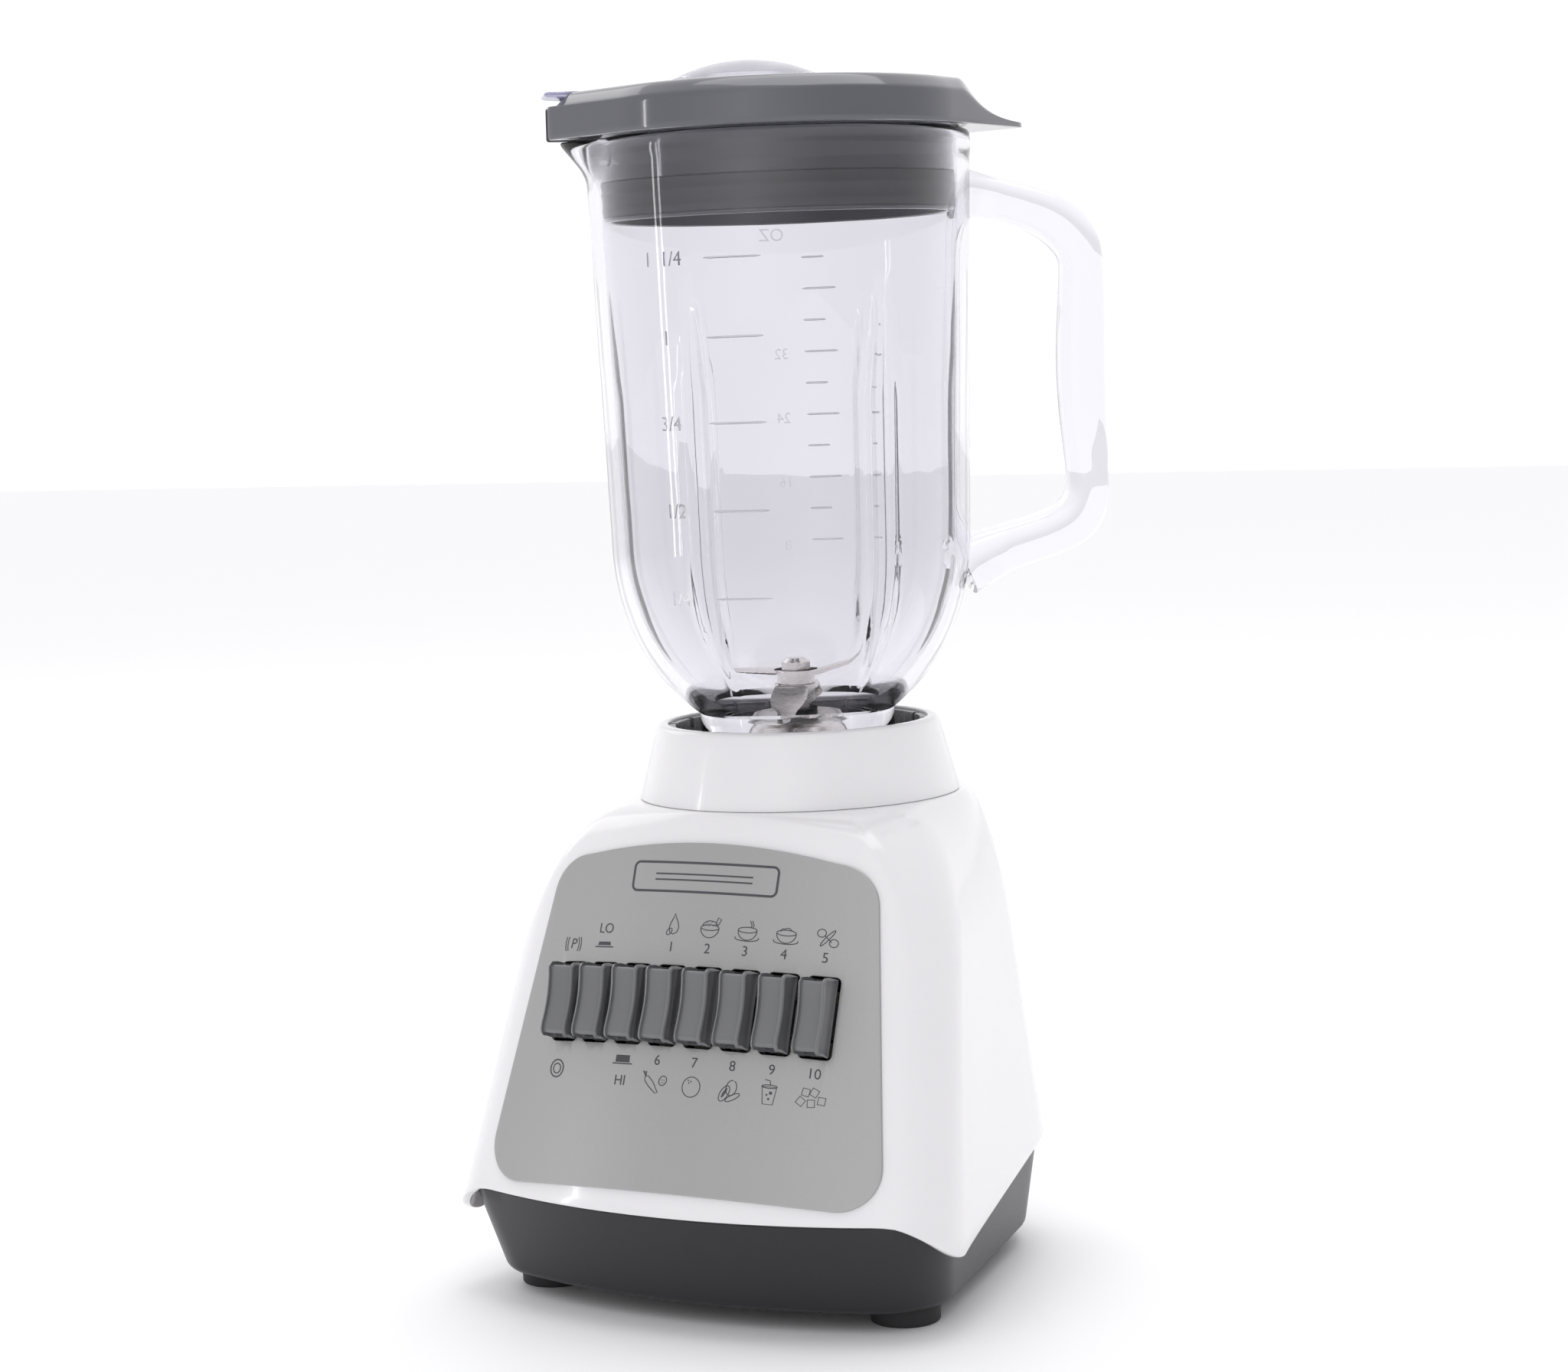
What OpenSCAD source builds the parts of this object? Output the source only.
// Countertop blender: a moulded motor base with a tilted key panel, and a lift-off glass jar.
// All heights are measured up from the counter, and all radii from the jar's axis.

/* [Motor base] */
// Half of the width across the front corners, at the skirt
base_half_w = 86.5; // [82:0.5:110]
// Reach of the front face in front of the jar's axis, at the skirt
base_front = 104; // [96:0.5:125]
// Height at which the skirt sizes are given
skirt_z = 25; // [20:1:30]
// Radius of the bowed front face
front_bow_r = 194; // [150:1:300]
// Radius of the upright front corners
front_corner_r = 20; // [12:1:26]
// Half of the distance between the two rear corner centres
rear_corner_x = 21.3; // [15:0.1:30]
// Distance of the rear corner centres behind the jar's axis
rear_corner_y = 18; // [10:0.5:24]
// Radius of the rear corners at the skirt
rear_corner_r = 49.2; // [44:0.2:70]
// Height of the deck that the jar stands on
deck_z = 150.5; // [145:0.5:185]
// Height at which the shoulder starts to round over at the corners and sides
shoulder_z = 104; // [95:1:115]
// Height at which the shoulder starts to round over above the panel
front_shoulder_z = 137; // [125:1:140]
// Thickness of the moulded walls
wall = 2.6; // [2:0.1:3.5]

/* [Slopes of the base] */
// Inward lean of the front, per millimetre of height
front_lean = 0.38; // [0.2:0.01:0.4]
// Inward lean of the sides, per millimetre of height
side_lean = 0.138; // [0.05:0.001:0.15]
// Inward lean of the rear, per millimetre of height
rear_lean = 0.123; // [0.05:0.001:0.14]

/* [Bottom pan and feet] */
// Height of the underside of the pan
pan_z = 6; // [5:0.5:9]
// Half of the pan's width at its underside
pan_half_w = 76.3; // [70:0.1:80]
// Reach of the pan's underside in front of the jar's axis
pan_front = 89.4; // [84:0.1:94]
// Radius of the pan's rear corners at its underside
pan_rear_r = 40.7; // [38:0.1:43]
// Height of the pan's upper edge inside the housing
pan_top_z = 44; // [40:1:50]
// Height of the housing's lower edge along the front
edge_front_z = 35; // [30:0.5:38]
// Height of the lower tip of each front corner
edge_toe_z = 23.6; // [22:0.2:28]
// Height of the housing's lower edge at the rear
edge_rear_z = 39; // [34:0.5:42]
// Radius of a rubber foot
foot_r = 10.6; // [7:0.1:12]
// Sideways distance of the front feet
foot_front_x = 62; // [55:0.5:64]
// Distance of the front feet in front of the jar's axis
foot_front_y = 60; // [55:0.5:66]
// Sideways distance of the rear feet
foot_rear_x = 34; // [28:0.5:36]
// Distance of the rear feet behind the jar's axis
foot_rear_y = 38; // [30:0.5:40]

/* [Control panel and keys] */
// Height of the middle of the control panel
panel_z = 92; // [88:0.5:96]
// Half width of the panel at its upper edge
panel_top_w = 57; // [52:0.5:58]
// Half width of the panel at its lower edge
panel_low_w = 67.5; // [62:0.5:68]
// Half height of the panel, along its slope
panel_half_h = 53.5; // [45:0.5:54]
// Thickness of the metal panel
panel_t = 0.9; // [0.6:0.1:1.5]
// Number of keys
key_count = 8; // [5:1:8]
// Distance from key to key
key_pitch = 12.5; // [11:0.1:12.6]
// Width of a key
key_w = 9.2; // [8:0.1:9.8]
// Height of a key along the panel
key_h = 23.6; // [20:0.1:28]
// Height of the keys' middle above the panel's middle
key_up = 2.9; // [-4:0.1:6]
// How far a key stands out of the panel
key_out = 9.4; // [7:0.1:10]
// How far a key can be pressed in
key_travel = 4.5; // [3:0.5:5]

/* [Jar] */
// Outer radius of the jar just under its rim
jar_top_r = 60.3; // [58:0.1:64]
// Outer radius of the jar where its bottom starts to round in
jar_low_r = 57; // [54:0.1:58]
// Height of the rounded bottom of the jar
jar_bowl_h = 66; // [60:0.5:72]
// Height of the straight part of the jar
jar_straight_h = 125.5; // [100:0.5:145]
// Height of the glass foot under the bowl
jar_foot_h = 14.5; // [14:0.5:18]
// Outer radius of the glass foot
jar_foot_r = 31; // [29:0.5:32]
// Thickness of the glass
glass_t = 4; // [3:0.1:4.5]
// Direction of the handle around the axis, from the right side towards the rear
handle_turn = 36; // [0:1:90]
// Reach of the handle from the axis
handle_reach = 104.5; // [100:0.5:112]
// Thickness of the handle's grip, across the reach
grip_t = 15; // [13:0.5:16]
// Width of the handle
handle_w = 17; // [14:0.5:20]

/* [Jar base and blades] */
// Height of the jar base's cone
cone_h = 23.5; // [22:0.5:26]
// Radius of the cone at the deck
cone_low_r = 51.2; // [50.5:0.1:51.8]
// Radius of the cone at its upper edge
cone_top_r = 45.2; // [44:0.1:46]
// Radius of the blade shaft
blade_shaft_r = 4; // [3.5:0.1:4.5]
// Span of the upper blade
upper_blade_span = 48; // [40:0.5:52]
// Span of the lower blade
lower_blade_span = 40; // [34:0.5:44]
// Thickness of the blade steel
blade_t = 1.4; // [1:0.1:1.8]

/* [Lid] */
// Radius of the lid's body
lid_r = 63; // [62:0.5:66]
// Height of the lid's rim
lid_h = 14.5; // [12:0.5:18]
// Reach of the lid's nose over the spout
lid_nose = 73; // [71:0.5:78]
// Reach of the lid's tail over the handle
lid_tail = 78.5; // [74:0.5:90]
// Depth of the lid's plug inside the jar
plug_h = 26; // [20:0.5:34]
// Radius of the filler hole in the lid
filler_r = 24; // [20:0.5:26]
// Distance of the filler hole from the axis, towards the spout
filler_shift = 9; // [0:0.5:11]
// Height of the cap's dome over the lid
cap_dome_h = 8; // [4:0.5:10]

/* [Motor] */
// Radius of the motor shaft
shaft_r = 4; // [3.5:0.1:4.5]
// Radius of the rotor's laminated core
rotor_r = 19.4; // [17:0.1:20]
// Height of the laminated stacks
stack_h = 32; // [26:1:38]
// Height of the bottom of the stacks
stack_z = 64; // [62:1:68]
// Width of the square stator
stator_w = 64; // [62:1:68]
// Radius of the cooling fan
fan_r = 30; // [26:0.5:31]

/* [Clearances] */
// Gap between parts that fit together
fit_gap = 0.4; // [0.3:0.05:0.5]
// Gap between a shaft and its bearing
shaft_gap = 0.05; // [0.02:0.01:0.08]
// Air gap between the rotor and the stator
air_gap = 0.6; // [0.5:0.05:0.8]

/* [Hidden] */
$fn = 48;
little = 0.01;

// The jar's axis stands behind the middle of the whole object's box
axis_y = 15.2;
module at_axis() translate([0, axis_y, 0]) children();

function mix(a, b, t) = a + (b - a) * t;
function smooth(t) = let (c = min(max(t, 0), 1)) c * c * (3 - 2 * c);
function arc_points(cx, cy, r, a0, a1, n) =
    [for (i = [0:n]) let (a = mix(a0, a1, i / n)) [cx + r * cos(a), cy + r * sin(a)]];

// ---- Plan of the base: a bowed front, upright corners, straight sides and round rear corners.
// A plan is [half width, front reach, front corner radius, rear corner radius].
function housing_plan(z, inset) = [
    base_half_w - side_lean * (z - skirt_z) - inset,
    base_front - front_lean * (z - skirt_z) - inset,
    max(front_corner_r - inset, 2),
    rear_corner_r - rear_lean * (z - skirt_z) - inset];

front_n = 8;
corner_n = 6;
side_n = 5;
rear_n = 9;
back_n = 2;

function half_plan(p) =
    let (a = p[0], f = p[1], rc = p[2], r2 = p[3], rf = front_bow_r,
        cx = a - rc, yc = rf - f, cy = yc - sqrt(pow(rf - rc, 2) - cx * cx),
        turn = atan2(cy - yc, cx),
        dx = rear_corner_x - cx, dy = rear_corner_y - cy,
        side = atan2(dy, dx) - acos((rc - r2) / norm([dx, dy])),
        s0 = [cx + rc * cos(side), cy + rc * sin(side)],
        s1 = [rear_corner_x + r2 * cos(side), rear_corner_y + r2 * sin(side)])
    concat(
        arc_points(0, yc, rf, -90, turn, front_n),
        [for (i = [1:corner_n]) let (t = mix(turn, side, i / corner_n)) [cx + rc * cos(t), cy + rc * sin(t)]],
        [for (i = [1:side_n]) mix(s0, s1, i / side_n)],
        [for (i = [1:rear_n]) let (t = mix(side, 90, i / rear_n))
            [rear_corner_x + r2 * cos(t), rear_corner_y + r2 * sin(t)]],
        [for (i = [1:back_n]) [rear_corner_x * (1 - i / back_n), rear_corner_y + r2]]);

// The whole plan, anticlockwise from the middle of the front
half_n = front_n + corner_n + side_n + rear_n + back_n;
plan_n = 2 * half_n;
function mirror_index(i) = i <= half_n ? i : plan_n - i;
function full_plan(p) =
    let (h = half_plan(p)) [for (i = [0:plan_n - 1])
        let (q = h[mirror_index(i)]) i <= half_n ? q : [-q[0], q[1]]];

// Height of the housing's lower edge at point i of the plan: a flat arch along the front,
// a toe at the corner, and a rise along the side to the rear
toe_i = front_n + corner_n;
side_end_i = toe_i + side_n;
function edge_z(i) = let (k = mirror_index(i))
    k <= front_n - 1 ? edge_front_z
    : k <= toe_i ? mix(edge_front_z, edge_toe_z, smooth((k - front_n + 1) / (corner_n + 1)))
    : k <= side_end_i + 2 ? mix(edge_toe_z, edge_rear_z, pow((k - toe_i) / (side_n + 2), 0.8))
    : edge_rear_z;

// The shoulder blends the plan into the deck's circle
deck_r = cone_low_r + 1.3;
function shoulder_from(i) =
    mix(front_shoulder_z, shoulder_z, smooth((mirror_index(i) - front_n + 1) / (corner_n - 2)));
function shoulder_share(z, top, i) = let (from = shoulder_from(i), s = min(max((z - from) / (top - from), 0), 1))
    1 - sqrt(max(1 - pow(s, shoulder_power), 0));
shoulder_power = 2.35;
function deck_point(i, r) = let (h = half_plan(housing_plan(top_ref_z, 0)), q = h[mirror_index(i)],
    a = atan2(q[1], q[0])) [(i <= half_n ? 1 : -1) * r * cos(a), r * sin(a)];
top_ref_z = 120;
function housing_ring(z, inset) =
    let (p = full_plan(housing_plan(z, inset)))
    [for (i = [0:plan_n - 1]) let (w = shoulder_share(z, deck_z - inset, i),
        q = mix(p[i], deck_point(i, deck_r - inset), w)) [q[0], q[1], z]];

// Joins a list of equal rings, each with its own points, into one closed skin
module skin(rings) {
    n = len(rings[0]);
    m = len(rings);
    pts = [for (r = rings) each r];
    faces = [for (j = [0:m - 1], i = [0:n - 1]) let (k = (j + 1) % m, l = (i + 1) % n)
        each [[j * n + i, k * n + i, k * n + l], [j * n + i, k * n + l, j * n + l]]];
    polyhedron(points = pts, faces = faces, convexity = 10);
}

// Rings that share an edge line at the bottom: from the wavy lower edge up to a level line
level_z = 50;
low_rows = 3;
wall_zs = [level_z, 70, 88, shoulder_z];
shoulder_steps = 9;
function shoulder_z_at(k, top) = shoulder_z + (top - shoulder_z) * sin(90 * k / shoulder_steps);
function edge_ring(t, inset) = [for (i = [0:plan_n - 1]) let (z = mix(edge_z(i), level_z, t),
    q = full_plan(housing_plan(z, inset))[i]) [q[0], q[1], z]];
function hole_ring(z, r) = [for (i = [0:plan_n - 1]) let (q = deck_point(i, r)) [q[0], q[1], z]];

deck_hole_r = 14;
deck_t = 3;
module housing_skin() {
    skin(concat(
        [for (k = [0:low_rows - 1]) edge_ring(k / low_rows, 0)],
        [for (z = wall_zs) housing_ring(z, 0)],
        [for (k = [1:shoulder_steps]) housing_ring(shoulder_z_at(k, deck_z), 0)],
        [hole_ring(deck_z, deck_hole_r), hole_ring(deck_z - deck_t, deck_hole_r)],
        [for (k = [shoulder_steps:-2:1]) housing_ring(shoulder_z_at(k, deck_z - deck_t), wall)],
        [for (k = [len(wall_zs) - 1:-1:0]) housing_ring(wall_zs[k], wall)],
        [edge_ring(0, wall)]));
}

// ---- The panel's own frame: x to the right, y up along the slope, z out of the panel
tilt = atan(front_lean);
panel_reach = base_front - front_lean * (panel_z - skirt_z);
panel_bow_r = front_bow_r / cos(tilt);
function bow_drop(x) = panel_bow_r - sqrt(pow(panel_bow_r, 2) - x * x);
module on_panel() translate([0, axis_y - panel_reach, panel_z]) rotate([90 - tilt, 0, 0]) children();
module bow_cylinder(r, h) translate([0, 0, -panel_bow_r]) rotate([90, 0, 0])
    cylinder(r = r, h = h, center = true, $fn = 200);

key_span = key_count * key_pitch;
slot_gap = 0.4;
slot_w = key_w + 2 * slot_gap;
slot_h = key_h + 3 * slot_gap;
window_w = key_span + 1;
window_h = slot_h + 2;
function key_x(k) = (k - (key_count - 1) / 2) * key_pitch;

screw_post_r = 5;
foot_points = [[-foot_front_x, -foot_front_y], [foot_front_x, -foot_front_y],
    [-foot_rear_x, foot_rear_y], [foot_rear_x, foot_rear_y]];
post_low_z = pan_z + wall + fit_gap;
post_high_z = 76;
rib_t = 3;
rib_len = 34;
screw_r = 1.9;
module housing_posts() {
    difference() {
        intersection() {
            for (p = foot_points) {
                translate([p[0], p[1], post_low_z]) cylinder(r = screw_post_r, h = post_high_z - post_low_z);
                translate([p[0], p[1], pan_top_z + 1]) rotate([0, 0, atan2(p[1], p[0])])
                    translate([0, -rib_t / 2, 0]) cube([rib_len, rib_t, post_high_z - pan_top_z - 1]);
            }
            skin_solid();
        }
        for (p = foot_points) translate([p[0], p[1], pan_z]) cylinder(r = screw_r + 0.1, h = 20);
    }
}
// The housing's outer shape as a solid, a little inside its outer face
module skin_solid() {
    inset = wall / 2;
    rings = concat([housing_ring(post_low_z, inset)], [for (z = wall_zs) housing_ring(z, inset)],
        [housing_ring(post_high_z + 4, inset)]);
    n = plan_n;
    m = len(rings);
    faces = concat(
        [for (j = [0:m - 2], i = [0:n - 1]) let (l = (i + 1) % n)
            each [[j * n + i, (j + 1) * n + i, (j + 1) * n + l], [j * n + i, (j + 1) * n + l, j * n + l]]],
        [[for (i = [0:n - 1]) i], [for (i = [n - 1:-1:0]) (m - 1) * n + i]]);
    polyhedron(points = [for (r = rings) each r], faces = faces, convexity = 4);
}

lug_count = 4;
lug_r = 37;
lug_size = [9, 7, 5.5];
module lugs() for (k = [0:lug_count - 1]) rotate([0, 0, 45 + k * 360 / lug_count])
    translate([lug_r - lug_size[0] / 2, -lug_size[1] / 2, deck_z - 1]) cube([lug_size[0], lug_size[1], lug_size[2] + 1]);

gland_z = 52;
gland_r = 5.5;
rear_reach = rear_corner_y + rear_corner_r - rear_lean * (gland_z - skirt_z);
module base_housing() color("white") {
    difference() {
        at_axis() housing_skin();
        on_panel() translate([-window_w / 2, key_up - window_h / 2, -wall - 8]) cube([window_w, window_h, wall + 12]);
        at_axis() translate([0, rear_reach + 2, gland_z]) rotate([90, 0, 0]) cylinder(r = gland_r + fit_gap, h = 8);
    }
    at_axis() lugs();
    at_axis() housing_posts();
}

// ---- Bottom pan
pan_floor_t = 2.4;
pan_front_r = 22;
join_z = 34;
pan_gap = wall + fit_gap;
function pan_plan(z, inset) =
    let (low = [pan_half_w, pan_front, pan_front_r, pan_rear_r], high = housing_plan(join_z, pan_gap),
        t = (z - pan_z) / (join_z - pan_z), p = t <= 1 ? mix(low, high, t) : housing_plan(z, pan_gap))
    [p[0] - inset, p[1] - inset, max(p[2] - inset, 2), p[3] - inset];
function pan_ring(z, inset) = [for (q = full_plan(pan_plan(z, inset))) [q[0], q[1], z]];
pan_edge_r = 2.5;
module bottom_pan() color([0.22, 0.22, 0.25]) at_axis() difference() {
    rings = concat(
        [for (a = [0:30:90]) pan_ring(pan_z + pan_edge_r * (1 - sin(a)), pan_edge_r * (1 - cos(a)))]);
    outer = [for (k = [len(rings) - 1:-1:0]) rings[k]];
    all = concat(outer, [pan_ring(join_z, 0), pan_ring(pan_top_z, 0), pan_ring(pan_top_z, wall),
        pan_ring(join_z, wall), pan_ring(pan_z + pan_floor_t, wall)]);
    n = plan_n;
    m = len(all);
    faces = concat(
        [for (j = [0:m - 2], i = [0:n - 1]) let (l = (i + 1) % n)
            each [[j * n + i, (j + 1) * n + i, (j + 1) * n + l], [j * n + i, (j + 1) * n + l, j * n + l]]],
        [[for (i = [0:n - 1]) i], [for (i = [n - 1:-1:0]) (m - 1) * n + i]]);
    polyhedron(points = [for (r = all) each r], faces = faces, convexity = 8);
    for (k = [-3:3]) translate([k * 7 - 1.5, -16, pan_z - 1]) cube([3, 32, pan_floor_t + 2]);
    for (p = foot_points) translate([p[0], p[1], pan_z - 1]) cylinder(r = screw_r + 0.3, h = pan_floor_t + 2);
}

screw_head_h = 2;
screw_head_r = 3.6;
module pan_screws() color("silver") at_axis() for (p = foot_points) translate([p[0], p[1], pan_z - screw_head_h]) {
    difference() {
        cylinder(r = screw_head_r, h = screw_head_h);
        translate([-2.6, -0.5, -little]) cube([5.2, 1, 1]);
        translate([-0.5, -2.6, -little]) cube([1, 5.2, 1]);
    }
    cylinder(r = screw_r, h = 16);
}

// ---- Feet
foot_edge = 0.8;
foot_bore_r = screw_head_r + 0.6;
module foot(x, y) color([0.12, 0.12, 0.13]) at_axis() translate([x, y, 0]) difference() {
    union() {
        cylinder(r1 = foot_r - foot_edge, r2 = foot_r, h = foot_edge);
        translate([0, 0, foot_edge]) cylinder(r = foot_r, h = pan_z - foot_edge);
    }
    translate([0, 0, -1]) cylinder(r = foot_bore_r, h = pan_z + 2);
}
module foot_front_left() foot(-foot_front_x, -foot_front_y);
module foot_front_right() foot(foot_front_x, -foot_front_y);
module foot_rear_left() foot(-foot_rear_x, foot_rear_y);
module foot_rear_right() foot(foot_rear_x, foot_rear_y);

// ---- Control panel
panel_corner_r = 13;
panel_arch = 4;
module panel_outline() {
    // a rounded plate with a bowed upper and lower edge, wider at the bottom
    r = panel_corner_r;
    top = [panel_top_w - r, panel_half_h - panel_arch - r];
    low = [panel_low_w - r, -panel_half_h + r];
    lean = atan2(low[0] - top[0], top[1] - low[1]);
    right = concat(arc_points(low[0], low[1], r, -90, lean, 8), arc_points(top[0], top[1], r, lean, 84, 8));
    arch = [for (i = [1:6]) let (x = (top[0] + r * cos(84)) * (1 - i / 6)) [x, panel_half_h - panel_arch * pow(x / top[0], 2)]];
    half = concat(right, arch);
    polygon(concat(half, [for (i = [len(half) - 2:-1:0]) [-half[i][0], half[i][1]]]));
}
module panel_slots(extra) for (k = [0:key_count - 1]) translate([key_x(k), key_up, 0])
    translate([-slot_w / 2 - extra, -slot_h / 2 - extra, -20]) cube([slot_w + 2 * extra, slot_h + 2 * extra, 40]);
panel_seat = 0.05;
module control_panel() color("silver") on_panel() difference() {
    intersection() {
        difference() {
            bow_cylinder(panel_bow_r + panel_seat + panel_t, 2 * panel_half_h + 10);
            bow_cylinder(panel_bow_r + panel_seat, 2 * panel_half_h + 12);
        }
        translate([0, 0, -30]) linear_extrude(height = 40) panel_outline();
    }
    panel_slots(0);
}

// A dark guide behind the panel's slots, which the keys slide in
guide_t = 6;
module slot_guide() color([0.2, 0.2, 0.22]) on_panel() difference() {
    intersection() {
        difference() {
            bow_cylinder(panel_bow_r - 0.3, window_h + 10);
            bow_cylinder(panel_bow_r - 0.3 - guide_t, window_h + 12);
        }
        translate([-window_w / 2 + fit_gap, key_up - window_h / 2 + fit_gap, -20])
            cube([window_w - 2 * fit_gap, window_h - 2 * fit_gap, 40]);
    }
    panel_slots(0);
}

// ---- Keys and switch block
stem_w = 6;
key_dish = 1.1;
key_fall = 0.7;
stem_h = 10;
stem_len = 22;
block_z1 = -17;
block_floor = 3;
block_z0 = -(stem_len + key_travel + block_floor + 10.5);
block_half_w = key_span / 2 + 2;
block_half_h = stem_h / 2 + 5;
function key_profile() = concat(
    [[key_h / 2, 0], [key_h / 2 - 0.3, key_out - 4.4]],
    arc_points(key_h / 2 - 3.1, key_out - 2.4, 2.4, 25, 90, 4),
    [for (i = [1:8]) let (t = i / 8)
        [mix(key_h / 2 - 3.1, -key_h / 2 + 3.3, t), key_out - key_dish * sin(180 * t) - key_fall * t]],
    arc_points(-key_h / 2 + 2, key_out - 2.9, 2.2, 95, 195, 4),
    [[-key_h / 2, key_out - 3.8], [-key_h / 2, 0]]);
module key(k) color([0.42, 0.43, 0.44]) on_panel() translate([key_x(k), key_up, -bow_drop(key_x(k))]) {
    translate([-key_w / 2, 0, 0]) rotate([90, 0, 90]) linear_extrude(height = key_w) polygon(key_profile());
    translate([-stem_w / 2, -stem_h / 2, -stem_len]) cube([stem_w, stem_h, stem_len + little]);
}
module key_off_pulse() key(0);
module key_low() key(1);
module key_high() key(2);
module key_speed_1_6() key(3);
module key_speed_2_7() key(4);
module key_speed_3_8() key(5);
module key_speed_4_9() key(6);
module key_speed_5_10() key(7);

latch_t = 1.4;
latch_h = 7;
latch_z = -36;
latch_travel = 2;
module switch_block() color([0.85, 0.84, 0.8]) on_panel() translate([0, key_up, 0]) difference() {
    union() {
        translate([-block_half_w, -block_half_h, block_z0]) cube([2 * block_half_w, 2 * block_half_h, block_z1 - block_z0]);
        for (s = [-1, 1]) translate([s * (block_half_w + 3) - 4, -4, block_z1 - 3]) cube([8, 8, 3]);
        for (x = [-30, 0, 30]) translate([x - 3, block_half_h, latch_z - 1.5]) cube([6, latch_t + 2.4, 1.2]);
        for (x = [-30, 0, 30]) translate([x - 3, block_half_h, latch_z + latch_h + 0.3]) cube([6, latch_t + 2.4, 1.2]);
        for (x = [-30, 0, 30]) translate([x - 3, block_half_h + latch_t + 0.8, latch_z - 1.5]) cube([6, 1.6, latch_h + 3]);
    }
    for (k = [0:key_count - 1]) translate([key_x(k) - stem_w / 2 - fit_gap, -stem_h / 2 - fit_gap, block_z0 + block_floor])
        cube([stem_w + 2 * fit_gap, stem_h + 2 * fit_gap, block_z1 - block_z0]);
    for (s = [-1, 1]) translate([s * (block_half_w + 4), 0, block_z1 - 4]) cylinder(r = 1.6, h = 5);
}
module latch_bar() color("gainsboro") on_panel() translate([0, key_up, 0])
    translate([-block_half_w + 1 + latch_travel, block_half_h + fit_gap, latch_z])
    cube([2 * (block_half_w - 1 - latch_travel), latch_t, latch_h - 0.2]);

// ---- Cord gland: an empty bushing in the rear wall
gland_flange_r = 8.5;
flange_out = 1.2;
module cord_gland() color([0.15, 0.15, 0.16]) at_axis() translate([0, rear_reach, gland_z]) rotate([-90, 0, 0]) difference() {
    union() {
        translate([0, 0, -wall - 3]) cylinder(r = gland_r, h = wall + 4);
        translate([0, 0, flange_out]) cylinder(r1 = gland_flange_r, r2 = gland_flange_r - 1.5, h = 1.6);
        translate([0, 0, 2.8]) cylinder(r1 = gland_r + 0.6, r2 = gland_r - 0.8, h = 4);
        translate([0, 0, -wall - 3]) cylinder(r = gland_r + 1.8, h = 1.6);
    }
    translate([0, 0, -12]) cylinder(r = 3.4, h = 24);
}

// ---- Motor, upright on the jar's axis
bolt_offset = stator_w / 2 - 5.5;
mount_h = 6;
mount_z = pan_z + pan_floor_t + little;
plate_low_z = 36;
plate_t = 3;
plate_high_z = stack_z + stack_h + 12;
bearing_r = 9;
bearing_h = 6;
bolt_r = 2;
leg_r = 4.3;
corners = [[-1, -1], [1, -1], [-1, 1], [1, 1]];
module motor_mounts() color([0.15, 0.15, 0.16]) at_axis() for (c = corners)
    translate([c[0] * bolt_offset, c[1] * bolt_offset, mount_z]) cylinder(r = 5.5, h = mount_h);
module bracket_plate(z) difference() {
    translate([-stator_w / 2, -9, z]) cube([stator_w, 18, plate_t]);
    translate([0, 0, z - 1]) cylinder(r = bearing_r, h = plate_t + 2);
}
module bracket_ring(z) {
    difference() {
        translate([0, 0, z]) cylinder(r = bearing_r + 3, h = bearing_h);
        translate([0, 0, z - 1]) cylinder(r = bearing_r, h = bearing_h + 2);
    }
    bracket_plate(z);
    for (s = [-1, 1]) translate([s * bolt_offset - 5, -stator_w / 2, z]) cube([10, stator_w, plate_t]);
}
module motor_bracket_lower() color("lightgray") at_axis() difference() {
    union() {
        bracket_ring(plate_low_z);
        for (c = corners) translate([c[0] * bolt_offset, c[1] * bolt_offset, mount_z + mount_h])
            cylinder(r = leg_r, h = stack_z - mount_z - mount_h);
    }
    for (c = corners) translate([c[0] * bolt_offset, c[1] * bolt_offset, plate_low_z]) cylinder(r = bolt_r + 0.1, h = 60);
}
module motor_bracket_upper() color("lightgray") at_axis() difference() {
    union() {
        bracket_ring(plate_high_z);
        for (c = corners) translate([c[0] * bolt_offset, c[1] * bolt_offset, stack_z + stack_h])
            cylinder(r = leg_r, h = plate_high_z - stack_z - stack_h + 1);
    }
    for (c = corners) translate([c[0] * bolt_offset, c[1] * bolt_offset, stack_z]) cylinder(r = bolt_r + 0.1, h = 80);
}
module motor_screws() color("silver") at_axis() for (c = corners) translate([c[0] * bolt_offset, c[1] * bolt_offset, 0]) {
    translate([0, 0, plate_low_z + 1]) cylinder(r = bolt_r, h = plate_high_z + plate_t - plate_low_z - 1);
    translate([0, 0, plate_high_z + plate_t]) cylinder(r = 3.8, h = 2.5, $fn = 6);
}
module bearing(z) color("goldenrod") at_axis() translate([0, 0, z]) difference() {
    cylinder(r = bearing_r, h = bearing_h);
    translate([0, 0, -1]) cylinder(r = shaft_r + shaft_gap, h = bearing_h + 2);
}
module bearing_lower() bearing(plate_low_z);
module bearing_upper() bearing(plate_high_z);

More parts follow.
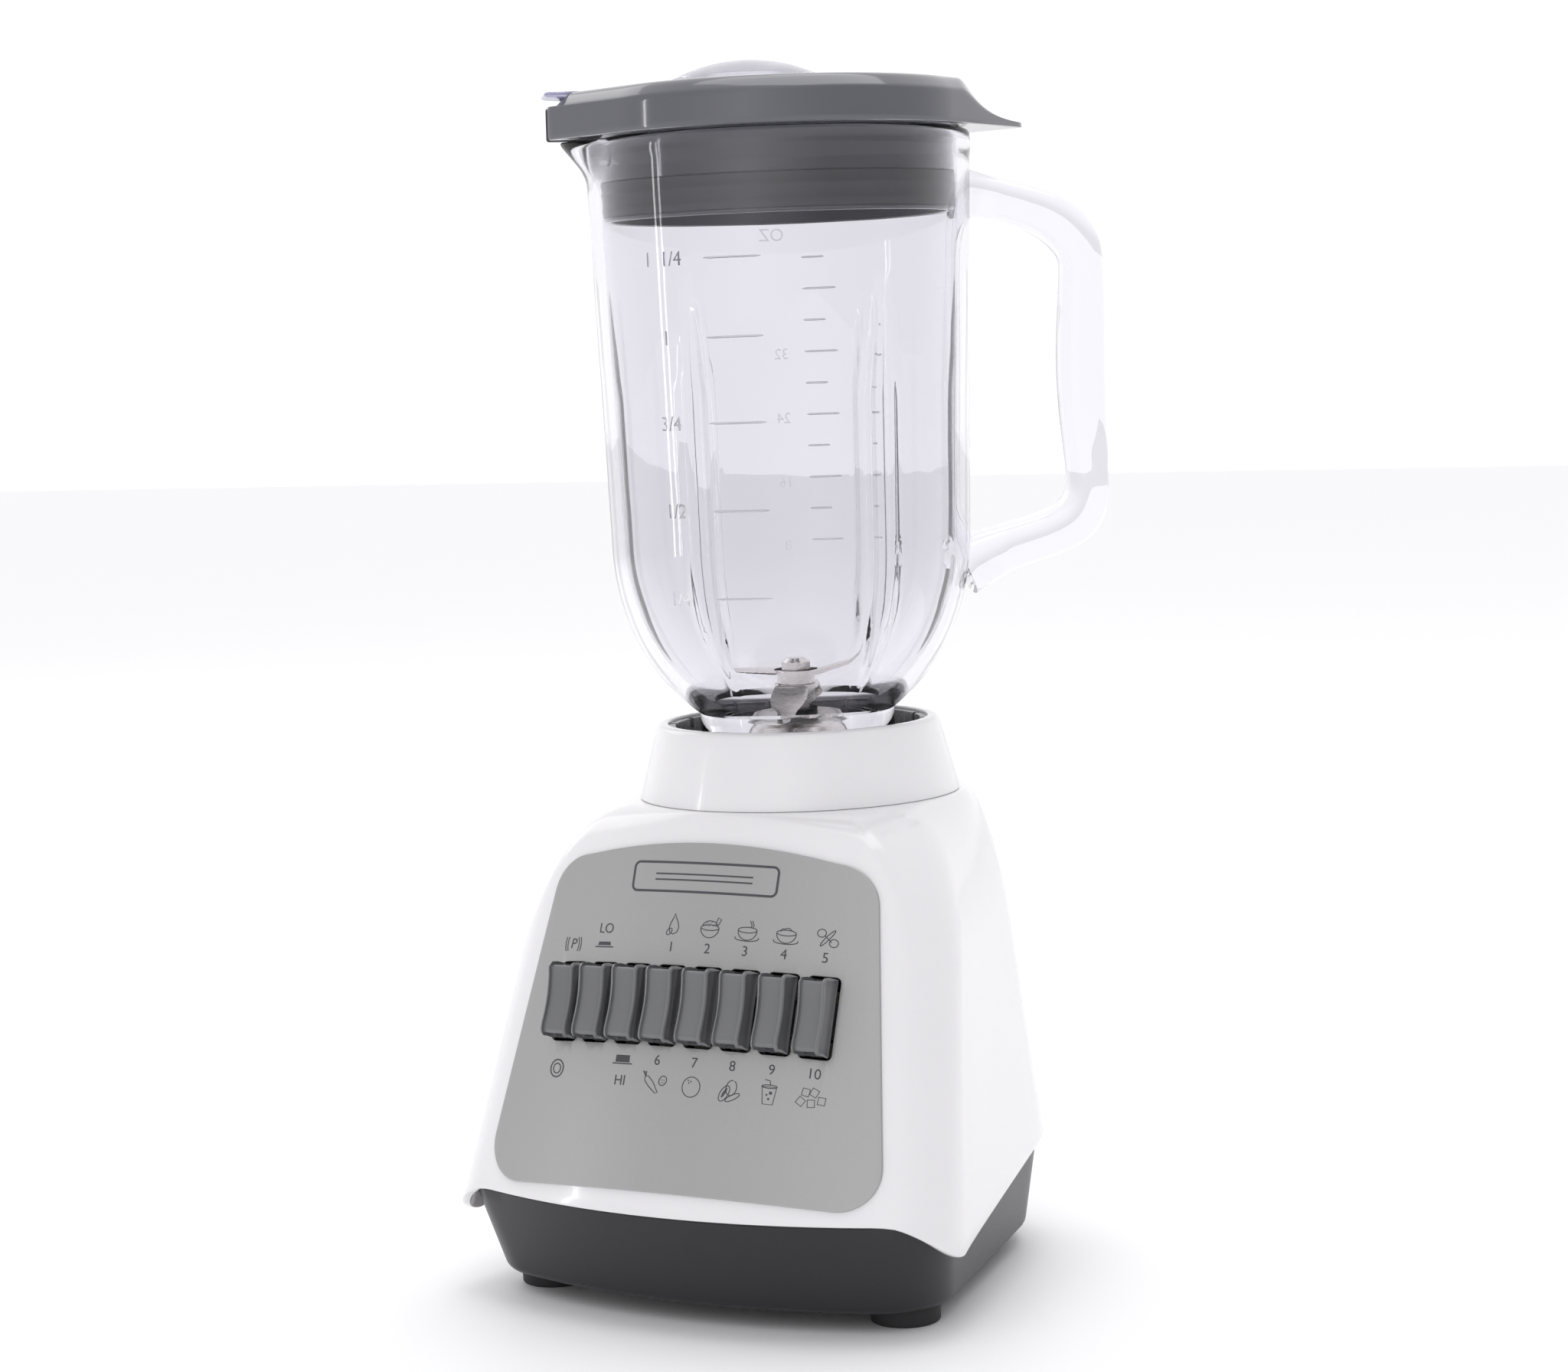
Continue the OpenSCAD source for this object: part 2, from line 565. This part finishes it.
pole_w = 14.5;
window_y0 = 17;
window_y1 = 25;
window_x1 = 22.5;
module stator_core() color([0.45, 0.45, 0.47]) at_axis() translate([0, 0, stack_z]) difference() {
    intersection() {
        translate([-stator_w / 2, -stator_w / 2, 0]) cube([stator_w, stator_w, stack_h]);
        cylinder(r = stator_w * 0.66, h = stack_h);
    }
    translate([0, 0, -1]) cylinder(r = rotor_r + air_gap, h = stack_h + 2);
    for (sx = [-1, 1], sy = [-1, 1]) translate([sx > 0 ? pole_w : -window_x1, sy > 0 ? window_y0 : -window_y1, -1])
        cube([window_x1 - pole_w, window_y1 - window_y0, stack_h + 2]);
    for (c = corners) translate([c[0] * bolt_offset, c[1] * bolt_offset, -1]) cylinder(r = bolt_r + 0.2, h = stack_h + 2);
}
coil_rise = 6;
module field_coils() color([0.72, 0.4, 0.2]) at_axis() for (s = [-1, 1]) {
    w1 = window_x1 - 0.4;
    w0 = pole_w + 0.4;
    y0 = s > 0 ? window_y0 + 0.5 : -window_y1 + 0.5;
    translate([0, y0, 0]) difference() {
        translate([-w1, 0, stack_z - coil_rise]) cube([2 * w1, window_y1 - window_y0 - 1, stack_h + 2 * coil_rise]);
        translate([-w0, -1, stack_z - 0.4]) cube([2 * w0, 20, stack_h + 0.8]);
    }
}
comm_r = 11;
comm_z = 45;
comm_h = 12;
holder_out = 31;
module brush_holders() color([0.75, 0.6, 0.3]) at_axis() for (s = [-1, 1]) difference() {
    translate([s > 0 ? comm_r + 2 : -holder_out, -5.5, plate_low_z + plate_t]) cube([holder_out - comm_r - 2, 11, comm_z + comm_h - plate_low_z - plate_t]);
    translate([s > 0 ? comm_r : -holder_out + 2, -3.4, comm_z + 2]) cube([holder_out - comm_r - 2, 6.8, 8.8]);
}
module carbon_brushes() color([0.2, 0.2, 0.2]) at_axis() for (s = [-1, 1])
    translate([s > 0 ? comm_r + 0.1 : -comm_r - 0.1 - 14, -3, comm_z + 2.4]) cube([14, 6, 8]);
shaft_low_z = 18;
drive_z = deck_z + 0.5;
stud_h = 8;
module motor_shaft() color("silver") at_axis() translate([0, 0, shaft_low_z]) cylinder(r = shaft_r, h = drive_z - shaft_low_z + 2);
module rotor_core() color([0.5, 0.5, 0.52]) at_axis() translate([0, 0, stack_z]) difference() {
    cylinder(r = rotor_r, h = stack_h);
    translate([0, 0, -1]) cylinder(r = shaft_r, h = stack_h + 2);
    for (k = [0:11]) rotate([0, 0, k * 30]) translate([rotor_r - 5, -1.2, -1]) cube([6, 2.4, stack_h + 2]);
}
module rotor_windings() color([0.75, 0.42, 0.22]) at_axis() for (z = [stack_z - 6, stack_z + stack_h]) translate([0, 0, z]) difference() {
    cylinder(r = rotor_r - 3, h = 6);
    translate([0, 0, -1]) cylinder(r = shaft_r, h = 8);
}
module commutator() color([0.8, 0.5, 0.3]) at_axis() translate([0, 0, comm_z]) difference() {
    cylinder(r = comm_r, h = comm_h);
    translate([0, 0, -1]) cylinder(r = shaft_r, h = comm_h + 2);
    for (k = [0:17]) rotate([0, 0, k * 20]) translate([comm_r - 0.8, -0.3, -1]) cube([2, 0.6, comm_h + 2]);
}
fan_z = 20;
fan_h = 10;
fan_blades = 10;
module cooling_fan() color([0.3, 0.3, 0.32]) at_axis() translate([0, 0, fan_z]) difference() {
    union() {
        cylinder(r = 8, h = fan_h);
        translate([0, 0, fan_h - 1.6]) cylinder(r = fan_r, h = 1.6);
        for (k = [0:fan_blades - 1]) rotate([0, 0, k * 360 / fan_blades]) translate([6, -0.7, 0]) cube([fan_r - 7, 1.4, fan_h - 1]);
    }
    translate([0, 0, -1]) cylinder(r = shaft_r, h = fan_h + 2);
}
lobe_count = 6;
lobe_r = 2.2;
lobe_c = 7;
module lobes(extra, h) {
    cylinder(r = lobe_c + extra, h = h);
    for (k = [0:lobe_count - 1]) rotate([0, 0, k * 360 / lobe_count]) translate([lobe_c, 0, 0]) cylinder(r = lobe_r + extra, h = h);
}
module drive_stud() color([0.2, 0.2, 0.22]) at_axis() translate([0, 0, drive_z]) difference() {
    union() {
        cylinder(r = 11, h = 1.6);
        lobes(0, stud_h);
    }
    translate([0, 0, -1]) cylinder(r = shaft_r, h = 3);
}

// ---- Jar base: the white cone, with the ring that clamps the glass foot
cone_z = deck_z + 0.2;
cone_wall = 2.6;
cone_lip_r = 41.4;
cone_lip_t = 3;
cone_round = 2;
module jar_base() color("white") at_axis() {
    top = cone_z + cone_h;
    rotate_extrude($fn = 96) polygon(concat(
        [[cone_low_r - cone_wall, cone_z], [cone_low_r, cone_z]],
        arc_points(cone_top_r - cone_round, top - cone_round, cone_round, 10, 90, 5),
        [[cone_lip_r, top], [cone_lip_r, top - cone_lip_t], [cone_top_r - cone_wall, top - cone_lip_t]]));
    // pairs of ribs that straddle the deck's lugs
    for (k = [0:lug_count - 1], s = [-1, 1]) rotate([0, 0, 45 + k * 360 / lug_count])
        translate([lug_r - 2, s * (lug_size[1] / 2 + 2) - 1, cone_z + 0.3]) cube([cone_low_r - cone_wall - lug_r + 2.4, 2, lug_size[2]]);
}
ring_r = cone_lip_r - 0.2;
foot_z = deck_z + cone_h - 11.5;
foot_bore = jar_foot_r + fit_gap;
ring_top = cone_z + cone_h - 1;
ring_low = foot_z - 5;
notch_count = 16;
module collar_ring() color([0.35, 0.36, 0.38]) at_axis() difference() {
    union() {
        translate([0, 0, ring_low]) cylinder(r = ring_r, h = ring_top - ring_low);
        translate([0, 0, ring_low]) cylinder(r = cone_top_r - cone_wall - 0.6, h = 3);
    }
    translate([0, 0, foot_z - 2.6]) cylinder(r = foot_bore, h = 20);
    translate([0, 0, ring_low - 1]) cylinder(r = jar_foot_r - 6, h = 10);
    translate([0, 0, ring_top - 5]) cylinder(r = ring_r - 3, h = 8);
    for (k = [0:notch_count - 1]) rotate([0, 0, k * 360 / notch_count])
        translate([ring_r - 5, -1, ring_top - 3]) cube([6, 2, 4]);
}
gasket_t = 1.2;
plate_rim_t = 1.4;
module jar_gasket() color([0.9, 0.9, 0.88]) at_axis() translate([0, 0, foot_z - gasket_t]) difference() {
    cylinder(r = jar_foot_r, h = gasket_t);
    translate([0, 0, -1]) cylinder(r = jar_foot_r - glass_t, h = gasket_t + 2);
}

// ---- Glass jar
bowl_n = 14;
function bowl_points(r0, h, r_end) = [for (i = [0:bowl_n])
    let (a = acos(r_end / r0) * i / bowl_n) [r0 * cos(a), bowl_top_z - h * sin(a)]];
bowl_top_z = foot_z + jar_foot_h + jar_bowl_h * sin(acos(jar_foot_r / jar_low_r)) ;
rim_z = bowl_top_z + jar_straight_h;
rim_bead = 0.8;
inner_low_r = jar_low_r - glass_t;
inner_top_r = jar_top_r - glass_t + 0.3;
foot_inner_r = jar_foot_r - glass_t;
spout_turn = handle_turn + 180;
spout_reach = 69;
module jar_body() rotate_extrude($fn = 96) polygon(concat(
    [[foot_inner_r, foot_z], [jar_foot_r, foot_z]],
    [for (i = [bowl_n:-1:0]) bowl_points(jar_low_r, jar_bowl_h, jar_foot_r)[i]],
    [[jar_top_r, rim_z - 10], [jar_top_r + rim_bead, rim_z - 3]],
    arc_points(jar_top_r - 0.4, rim_z - 2, 2, 0, 90, 4),
    [[inner_top_r + 0.6, rim_z], [inner_top_r, rim_z - 2]],
    bowl_points(inner_low_r, jar_bowl_h - 5, foot_inner_r)));
// The handle: an outline in an upright plane through the axis, given as [distance, height over the foot]
handle_low = 44;
handle_high = 170;
module handle() rotate([0, 0, handle_turn]) translate([0, handle_w / 2, foot_z]) rotate([90, 0, 0]) linear_extrude(height = handle_w) difference() {
    r_out = 16;
    x1 = handle_reach;
    difference() {
        union() {
            polygon(concat([[jar_low_r - 2.5, handle_low + 4]],
                arc_points(x1 - r_out, handle_low + 28, r_out, -75, 0, 5),
                arc_points(x1 - r_out, handle_high - 17, r_out, 0, 75, 5),
                [[jar_top_r - 2.5, handle_high + 6]]));
        }
        polygon(concat([[jar_low_r - 4, handle_low + 24], [jar_low_r + 6, handle_low + 22]],
            arc_points(x1 - grip_t - 7, handle_low + 35, 7, -70, 0, 3),
            arc_points(x1 - grip_t - 7, handle_high - 24, 7, 0, 75, 3),
            [[jar_top_r + 4, handle_high - 9], [jar_top_r - 5, handle_high - 8]]));
    }
}
module spout() rotate([0, 0, spout_turn]) difference() {
    intersection() {
        translate([0, 0, rim_z - 9]) linear_extrude(height = 9)
            polygon([[jar_top_r - 3, -18], [spout_reach - 3, -5], [spout_reach, -2], [spout_reach, 2], [spout_reach - 3, 5], [jar_top_r - 3, 18]]);
        translate([jar_top_r - 6, -30, rim_z - 9]) rotate([0, -42, 0]) translate([0, 0, -20]) cube([40, 60, 20 + 9]);
    }
    translate([0, 0, rim_z - 5]) linear_extrude(height = 9)
        polygon([[0, -13], [spout_reach - 5, -2.5], [spout_reach - 3.5, 0], [spout_reach - 5, 2.5], [0, 13]]);
}
module glass_jar() color([0.8, 0.88, 0.88, 0.35]) at_axis() {
    difference() {
        union() {
            jar_body();
            handle();
            spout();
        }
        rotate_extrude($fn = 96) polygon(concat([[0, foot_z - 1], [foot_inner_r, foot_z - 1]],
            [for (i = [bowl_n:-1:0]) bowl_points(inner_low_r, jar_bowl_h - 5, foot_inner_r)[i]],
            [[inner_top_r, rim_z - 2], [inner_top_r + 0.6, rim_z + 2], [0, rim_z + 2]]));
    }
}

// ---- Agitator: plate, bush, shaft and blades
plate_z = foot_z - gasket_t - plate_rim_t;
dome_top_z = foot_z + 12;
bush_r = 6.5;
bush_rise = 2.2;
socket_r = 12.5;
socket_room = 3.5;
module agitator_plate() color("silver") at_axis() difference() {
    rotate_extrude() polygon(concat(
        [[0, plate_z], [jar_foot_r - 0.3, plate_z], [jar_foot_r - 0.3, plate_z + plate_rim_t], [foot_inner_r - 1, plate_z + plate_rim_t]],
        arc_points(12, dome_top_z - 6, 6, 30, 90, 4), [[0, dome_top_z]]));
    translate([0, 0, plate_z - 1]) cylinder(r = bush_r, h = 30);
    translate([0, 0, plate_z - 1]) cylinder(r = socket_r + 1, h = socket_room + 1);
}
module blade_bearing() color("peru") at_axis() translate([0, 0, plate_z + socket_room]) difference() {
    cylinder(r = bush_r, h = dome_top_z + bush_rise - plate_z - socket_room);
    translate([0, 0, -1]) cylinder(r = blade_shaft_r + shaft_gap, h = 30);
}
blade_seat_z = dome_top_z + 4.5;
stack_gap = 9;
blade_bore_r = 3;
blade_hub_r = 7;
module blade_shaft() color("silver") at_axis() {
    z0 = drive_z + stud_h + 2;
    translate([0, 0, z0]) cylinder(r = blade_shaft_r, h = blade_seat_z - z0);
    translate([0, 0, blade_seat_z - 1]) cylinder(r = blade_bore_r, h = stack_gap + blade_t + nut_h + 1.8);
}
module drive_socket() color([0.2, 0.2, 0.22]) at_axis() translate([0, 0, drive_z + 2.2]) difference() {
    cylinder(r = socket_r, h = stud_h + 1.2);
    translate([0, 0, -1]) lobes(0.5, stud_h);
    translate([0, 0, stud_h - 0.2]) cylinder(r = blade_shaft_r, h = 6);
}
wing_w = 11;
module wing(length, rise) translate([blade_hub_r - 0.8, 0, 0]) rotate([0, -rise, 0])
    translate([0, -wing_w / 2, 0]) linear_extrude(height = blade_t)
    polygon([[0, 1.5], [0, wing_w - 1.5], [length * 0.5, wing_w - 1], [length, wing_w - 5],
        [length, wing_w - 7.5], [length * 0.4, 1]]);
module blade(z, span, rise_a, rise_b) translate([0, 0, z]) difference() {
    union() {
        cylinder(r = blade_hub_r, h = blade_t);
        wing(span / 2 - blade_hub_r + 0.8, rise_a);
        rotate([0, 0, 180]) wing(span / 2 - blade_hub_r + 0.8, rise_b);
    }
    translate([0, 0, -3]) cylinder(r = blade_bore_r, h = 8);
}
blade_turn = 20;
module upper_blade() color("silver") at_axis() rotate([0, 0, blade_turn]) blade(blade_seat_z + stack_gap, upper_blade_span, 18, 2);
module lower_blade() color("silver") at_axis() rotate([0, 0, blade_turn + 90]) blade(blade_seat_z + 4.5, lower_blade_span, -46, -46);
module blade_washers() color("silver") at_axis() for (z = [[blade_seat_z, 4.4], [blade_seat_z + 4.6 + blade_t, stack_gap - 4.7 - blade_t]])
    translate([0, 0, z[0]]) difference() {
        cylinder(r = 6, h = z[1]);
        translate([0, 0, -1]) cylinder(r = blade_bore_r, h = z[1] + 2);
    }
nut_h = 2.4;
module blade_nut() color("silver") at_axis() translate([0, 0, blade_seat_z + stack_gap + blade_t + 0.1]) difference() {
    union() {
        cylinder(r = 5.2, h = nut_h, $fn = 6);
        translate([0, 0, nut_h]) cylinder(r1 = 4.4, r2 = blade_bore_r, h = 1.2);
    }
    translate([0, 0, -1]) cylinder(r = blade_bore_r, h = nut_h + 1.8);
}

// ---- Lid, cap and pour flap
lid_z = rim_z + 0.6;
lid_top_z = lid_z + lid_h;
plug_r = inner_top_r - 1.2;
plug_t = 2.4;
seal_h = 11;
seal_z = lid_z - plug_h + 1.2;
seal_depth = 1.2;
function inner_radius(z) = mix(inner_low_r, inner_top_r, (z - bowl_top_z) / (rim_z - 2 - bowl_top_z));
nose_r = 12;
tail_r = 7;
// The lid's outline in one line: a round body with a nose over the spout and a tail over the handle,
// each a small arc joined to the body by its tangents
function lid_points(inset) =
    let (r = lid_r - inset, dt = lid_tail - inset - tail_r, dn = lid_nose - inset - nose_r,
        at = acos((r - tail_r) / dt), an = acos((r - nose_r) / dn))
    concat(arc_points(dt, 0, tail_r, -at, at, 6), arc_points(0, 0, r, at, 180 - an, 16),
        arc_points(-dn, 0, nose_r, 180 - an, 180 + an, 4), arc_points(0, 0, r, 180 + an, 360 - at, 16));
module lid_plan(inset) rotate([0, 0, handle_turn]) polygon(lid_points(inset));
lid_bevel = 4;
tail_crease = 57;
tail_tip_t = 2;
tail_slope = atan2(lid_h - tail_tip_t, lid_tail - tail_crease);
pour_slot_w = 9;
top_t = 3;
module filler_shift_by() rotate([0, 0, spout_turn]) translate([filler_shift, 0, 0]) children();
flap_w = 16;
flap_len = 20;
hinge_x = 53;
flap_recess = 4.2;
pin_r = 1.2;
pin_z = lid_top_z - 1.4;
module lid() color([0.4, 0.41, 0.43]) at_axis() difference() {
    union() {
        translate([0, 0, lid_z]) linear_extrude(height = lid_h - lid_bevel) lid_plan(0);
        translate([0, 0, lid_top_z - lid_bevel]) linear_extrude(height = lid_bevel / 2) lid_plan(1.6);
        translate([0, 0, lid_top_z - lid_bevel / 2]) linear_extrude(height = lid_bevel / 2) lid_plan(4.2);
        translate([0, 0, lid_z - plug_h]) cylinder(r = plug_r, h = plug_h + 1, $fn = 96);
    }
    // hollow plug, and the hollow over the handle's tail
    translate([0, 0, lid_z - plug_h - 1]) cylinder(r = plug_r - plug_t, h = plug_h + lid_h - top_t - 3, $fn = 96);
    // filler hole with its collar, pour slot and flap recess
    filler_shift_by() translate([0, 0, lid_z - 30]) cylinder(r = filler_r, h = 60);
    rotate([0, 0, spout_turn]) translate([plug_r - plug_t - 1, -pour_slot_w / 2, lid_z - 3.4])
        cube([30, pour_slot_w, lid_h + 8]);
    rotate([0, 0, spout_turn]) translate([hinge_x - 4, -flap_w / 2 - 0.6, lid_top_z - flap_recess]) cube([40, flap_w + 1.2, 9]);
    rotate([0, 0, spout_turn]) translate([hinge_x, 0, pin_z]) rotate([90, 0, 0])
        cylinder(r = pin_r + shaft_gap, h = flap_w + 4.4, center = true);
    translate([0, 0, seal_z - 0.1]) difference() {
        cylinder(r = plug_r + 1, h = seal_h + 0.2);
        translate([0, 0, -1]) cylinder(r = plug_r - seal_depth, h = seal_h + 2);
    }
    // the slope that thins the tail out over the handle
    rotate([0, 0, handle_turn]) translate([tail_crease, -lid_r, lid_top_z]) rotate([0, tail_slope, 0])
        cube([2 * tail_r + lid_r, 2 * lid_r, 2 * lid_h]);
}
seal_gap = 0.3;
module lid_seal() color([0.5, 0.51, 0.53]) at_axis() translate([0, 0, seal_z]) difference() {
    cylinder(r1 = inner_radius(seal_z) - seal_gap, r2 = inner_radius(seal_z + seal_h) - seal_gap, h = seal_h, $fn = 96);
    translate([0, 0, -1]) cylinder(r = plug_r - seal_depth + 0.1, h = seal_h + 2, $fn = 96);
}
cap_wall = 1.8;
cap_flange = 4;
module measuring_cap() color([0.82, 0.8, 0.9, 0.5]) at_axis() filler_shift_by() translate([0, 0, lid_top_z]) difference() {
    dome_r = filler_r + cap_flange;
    sphere_r = (dome_r * dome_r + cap_dome_h * cap_dome_h) / (2 * cap_dome_h);
    union() {
        rotate_extrude($fn = 72) polygon(concat([[0, 0.3], [dome_r, 0.3]],
            [for (i = [0:8]) let (x = dome_r * (1 - i / 8)) [x, 0.9 + sqrt(sphere_r * sphere_r - x * x) - sphere_r + cap_dome_h]]));
        translate([0, 0, -22]) cylinder(r = filler_r - 0.8, h = 22.5, $fn = 72);
    }
    translate([0, 0, -24]) cylinder(r = filler_r - 0.8 - cap_wall, h = 25, $fn = 72);
}
flap_t = 1.6;
module flap_pin() color("silver") at_axis() rotate([0, 0, spout_turn]) translate([hinge_x, 0, pin_z]) rotate([90, 0, 0])
    cylinder(r = pin_r, h = flap_w + 4, center = true);
module pour_flap() color([0.8, 0.78, 0.92, 0.5]) at_axis() rotate([0, 0, spout_turn]) translate([hinge_x, 0, pin_z]) difference() {
    union() {
        rotate([90, 0, 0]) cylinder(r = pin_r + 1, h = flap_w, center = true);
        translate([0, -flap_w / 2, 0]) cube([flap_len, flap_w, flap_t]);
    }
    rotate([90, 0, 0]) cylinder(r = pin_r + shaft_gap, h = flap_w + 2, center = true);
}

base_housing();
bottom_pan();
pan_screws();
foot_front_left();
foot_front_right();
foot_rear_left();
foot_rear_right();
control_panel();
slot_guide();
switch_block();
latch_bar();
cord_gland();
motor_mounts();
motor_bracket_lower();
motor_bracket_upper();
motor_screws();
bearing_lower();
bearing_upper();
stator_core();
field_coils();
brush_holders();
carbon_brushes();
motor_shaft();
rotor_core();
rotor_windings();
commutator();
cooling_fan();
drive_stud();
key_off_pulse();
key_low();
key_high();
key_speed_1_6();
key_speed_2_7();
key_speed_3_8();
key_speed_4_9();
key_speed_5_10();
jar_base();
collar_ring();
jar_gasket();
glass_jar();
agitator_plate();
blade_bearing();
blade_shaft();
drive_socket();
upper_blade();
lower_blade();
blade_washers();
blade_nut();
lid();
lid_seal();
measuring_cap();
pour_flap();
flap_pin();
